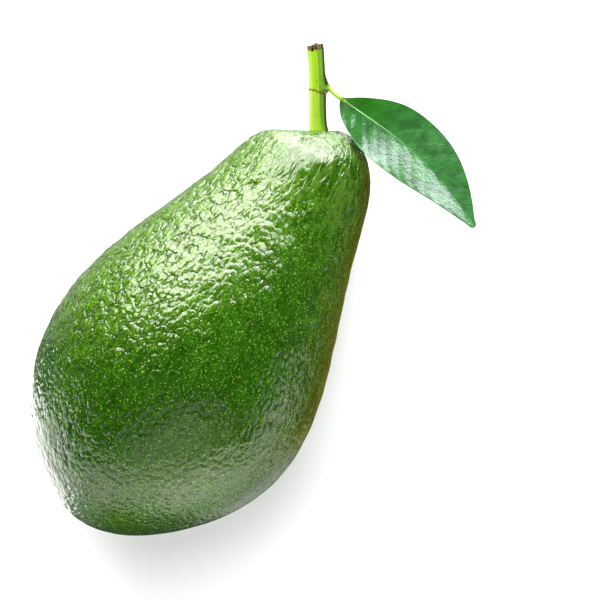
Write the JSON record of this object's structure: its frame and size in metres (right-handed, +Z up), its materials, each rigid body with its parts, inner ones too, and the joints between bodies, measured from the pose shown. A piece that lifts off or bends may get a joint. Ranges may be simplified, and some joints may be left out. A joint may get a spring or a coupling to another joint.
{
  "type": "avocado with stem and leaf",
  "caption": "Whole pear-shaped green avocado lying on its side, with a short bent neck, its green stem and a pointed oval leaf.",
  "frame": {"origin": "middle of the small flat spot that the fruit rests on", "axes": "+Y along the fruit from the blossom end toward the neck and stem, +Z up as it lies at rest"},
  "size_m": [0.0748, 0.1341, 0.0709],
  "materials": {
    "skin": "glossy pebbled green fruit skin with fine yellow-green dots",
    "stem": "fresh yellow-green stem with a brown torn end and scar",
    "leaf": "waxy dark green leaf, paler midrib and underside"
  },
  "bodies": {
    "root": {"fruit": "skin", "stem": "stem", "leaf": "leaf"}
  },
  "joints": []
}
